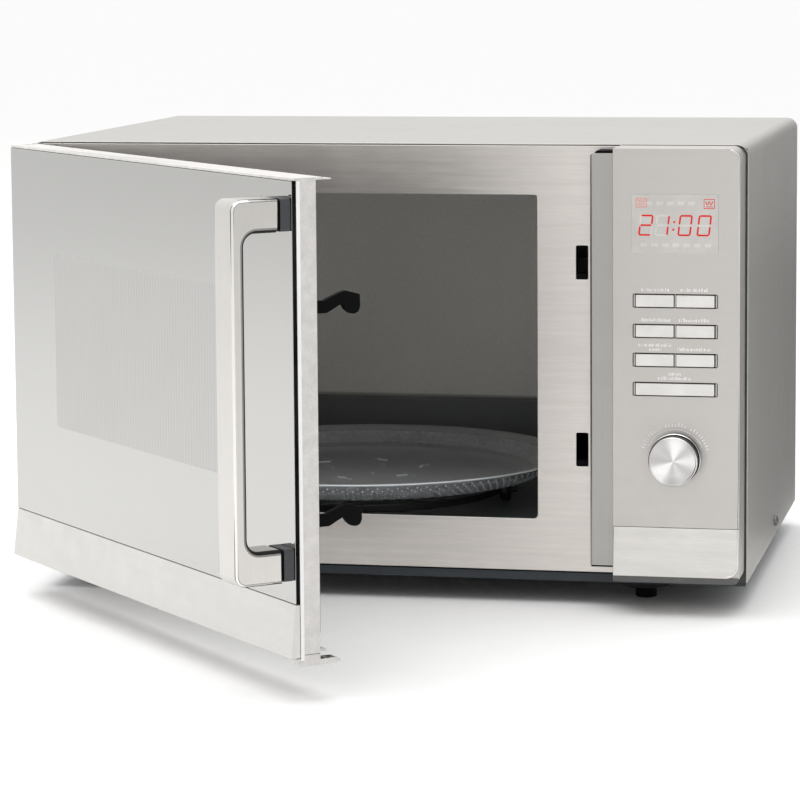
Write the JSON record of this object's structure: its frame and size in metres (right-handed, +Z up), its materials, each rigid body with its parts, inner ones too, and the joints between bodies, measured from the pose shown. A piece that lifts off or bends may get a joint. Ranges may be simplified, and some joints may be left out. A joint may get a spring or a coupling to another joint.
{
  "type": "microwave oven",
  "caption": "Countertop microwave oven with a side-hinged mirror door and bar handle, glass turntable, display, push buttons and rotary dial.",
  "frame": {"origin": "centre of the whole object's box, with the door ajar, on the surface under the feet", "axes": "+X to the right seen from the front, +Y from the front to the back, +Z up"},
  "size_m": [0.534, 0.7412, 0.328],
  "materials": {
    "cover_steel": "satin silver-grey coated steel",
    "brushed_steel": "fine brushed stainless steel",
    "panel_steel": "satin stainless-look fascia",
    "display_lens": "semi-gloss silver tinted lens",
    "button_silver": "satin silver plated buttons",
    "spun_aluminium": "spun face, polished edge",
    "satin_aluminium": "satin bar with polished chamfers",
    "mirror_glass": "half-silvered mirror glass",
    "clear_glass": "clear pressed glass",
    "cavity_enamel": "satin grey oven coating",
    "base_paint": "dark blue-grey paint",
    "zinc_steel": "zinc-plated steel",
    "iron_core": "laminated iron and varnished windings",
    "copper": "copper windings",
    "circuit_board": "green circuit board with components",
    "mica": "mica sheet",
    "white_plastic": "white moulded plastic",
    "black_plastic": "black moulded plastic",
    "door_plastic": "dark grey moulded plastic",
    "rubber": "black rubber"
  },
  "bodies": {
    "cabinet": {"outer_wrapper": "cover_steel", "front_plate": "brushed_steel", "cavity_shell": "cavity_enamel", "rear_panel": "zinc_steel", "base_plate": "base_paint", "waveguide_cover": "mica", "front_left_foot": "rubber", "front_right_foot": "rubber", "rear_left_foot": "rubber", "rear_right_foot": "rubber", "side_screw": "zinc_steel", "upper_hinge_bracket": "zinc_steel", "lower_hinge_bracket": "zinc_steel", "control_panel_housing": "panel_steel", "panel_lower_trim": "brushed_steel", "panel_side_channel": "brushed_steel", "display_window": "display_lens", "display_module": "black_plastic", "control_board": "circuit_board", "dial_encoder": "zinc_steel", "interlock_holder": "black_plastic", "upper_interlock_switch": "black_plastic", "lower_interlock_switch": "black_plastic", "magnetron": "zinc_steel", "waveguide": "zinc_steel", "high_voltage_transformer": "iron_core", "high_voltage_capacitor": "zinc_steel", "fan_shroud": "white_plastic", "fan_motor": "copper", "noise_filter_board": "circuit_board", "turntable_motor": "zinc_steel", "oven_lamp": "clear_glass", "cord_gland": "black_plastic"},
    "door": {"door_frame": "brushed_steel", "door_glass": "mirror_glass", "door_lower_trim": "brushed_steel", "inner_window": "clear_glass", "choke_panel": "zinc_steel", "choke_cover": "door_plastic", "handle_bar": "satin_aluminium", "upper_handle_spacer": "door_plastic", "lower_handle_spacer": "door_plastic"},
    "latch": {"latch_hooks": "black_plastic", "latch_spring": "zinc_steel"},
    "turntable": {"glass_tray": "clear_glass", "turntable_coupler": "white_plastic"},
    "roller_ring": {"roller_ring": "black_plastic"},
    "roller_1": {"tray_roller_1": "black_plastic"},
    "roller_2": {"tray_roller_2": "black_plastic"},
    "roller_3": {"tray_roller_3": "black_plastic"},
    "fan": {"fan_blade": "white_plastic"},
    "dial": {"dial_knob": "spun_aluminium", "dial_shaft": "zinc_steel"},
    "left_button_1": {"left_button_1": "button_silver"},
    "right_button_1": {"right_button_1": "button_silver"},
    "left_button_2": {"left_button_2": "button_silver"},
    "right_button_2": {"right_button_2": "button_silver"},
    "left_button_3": {"left_button_3": "button_silver"},
    "right_button_3": {"right_button_3": "button_silver"},
    "start_button": {"start_button": "button_silver"}
  },
  "joints": [
    {"name": "door_hinge", "type": "hinge", "parent": "cabinet", "child": "door", "pos_m": [-0.25152, -0.01957, 0.169], "axis": [0, 0, -1], "range_deg": [-48.25, 50]},
    {"name": "latch_slide", "type": "slide", "parent": "door", "child": "latch", "axis": [0, 0, 1], "range_m": [0, 0.0024], "stiffness_N_per_m": 250, "springref_m": -0.001, "deforming": ["latch_spring"]},
    {"name": "turntable_spin", "type": "hinge", "parent": "cabinet", "child": "turntable", "pos_m": [-0.05092, 0.17543, 0.059], "axis": [0, 0, 1], "continuous": true},
    {"name": "roller_ring_spin", "type": "hinge", "parent": "cabinet", "child": "roller_ring", "pos_m": [-0.05092, 0.17543, 0.05325], "axis": [0, 0, 1], "continuous": true},
    {"name": "fan_spin", "type": "hinge", "parent": "cabinet", "child": "fan", "pos_m": [0.19408, 0.34143, 0.244], "axis": [0, 1, 0], "continuous": true},
    {"name": "dial_turn", "type": "hinge", "parent": "cabinet", "child": "dial", "pos_m": [0.21738, -0.03057, 0.1116], "axis": [0, -1, 0], "continuous": true},
    {"name": "roller_1_spin", "type": "hinge", "parent": "roller_ring", "child": "roller_1", "pos_m": [0.06108, 0.17543, 0.05325], "axis": [1, 0, 0], "continuous": true},
    {"name": "roller_2_spin", "type": "hinge", "parent": "roller_ring", "child": "roller_2", "pos_m": [-0.10692, 0.27243, 0.05325], "axis": [-0.5, 0.866, 0], "continuous": true},
    {"name": "roller_3_spin", "type": "hinge", "parent": "roller_ring", "child": "roller_3", "pos_m": [-0.10692, 0.07844, 0.05325], "axis": [-0.5, -0.866, 0], "continuous": true},
    {"name": "left_button_1_press", "type": "slide", "parent": "cabinet", "child": "left_button_1", "axis": [0, 1, 0], "range_m": [0, 0.0012], "stiffness_N_per_m": 300},
    {"name": "right_button_1_press", "type": "slide", "parent": "cabinet", "child": "right_button_1", "axis": [0, 1, 0], "range_m": [0, 0.0012], "stiffness_N_per_m": 300},
    {"name": "left_button_2_press", "type": "slide", "parent": "cabinet", "child": "left_button_2", "axis": [0, 1, 0], "range_m": [0, 0.0012], "stiffness_N_per_m": 300},
    {"name": "right_button_2_press", "type": "slide", "parent": "cabinet", "child": "right_button_2", "axis": [0, 1, 0], "range_m": [0, 0.0012], "stiffness_N_per_m": 300},
    {"name": "left_button_3_press", "type": "slide", "parent": "cabinet", "child": "left_button_3", "axis": [0, 1, 0], "range_m": [0, 0.0012], "stiffness_N_per_m": 300},
    {"name": "right_button_3_press", "type": "slide", "parent": "cabinet", "child": "right_button_3", "axis": [0, 1, 0], "range_m": [0, 0.0012], "stiffness_N_per_m": 300},
    {"name": "start_button_press", "type": "slide", "parent": "cabinet", "child": "start_button", "axis": [0, 1, 0], "range_m": [0, 0.0012], "stiffness_N_per_m": 300}
  ],
  "couplings": [
    {"joint": "roller_ring_spin", "follows": "turntable_spin", "ratio": 0.5},
    {"joint": "roller_1_spin", "follows": "turntable_spin", "ratio": -6.2222},
    {"joint": "roller_2_spin", "follows": "turntable_spin", "ratio": -6.2222},
    {"joint": "roller_3_spin", "follows": "turntable_spin", "ratio": -6.2222}
  ]
}
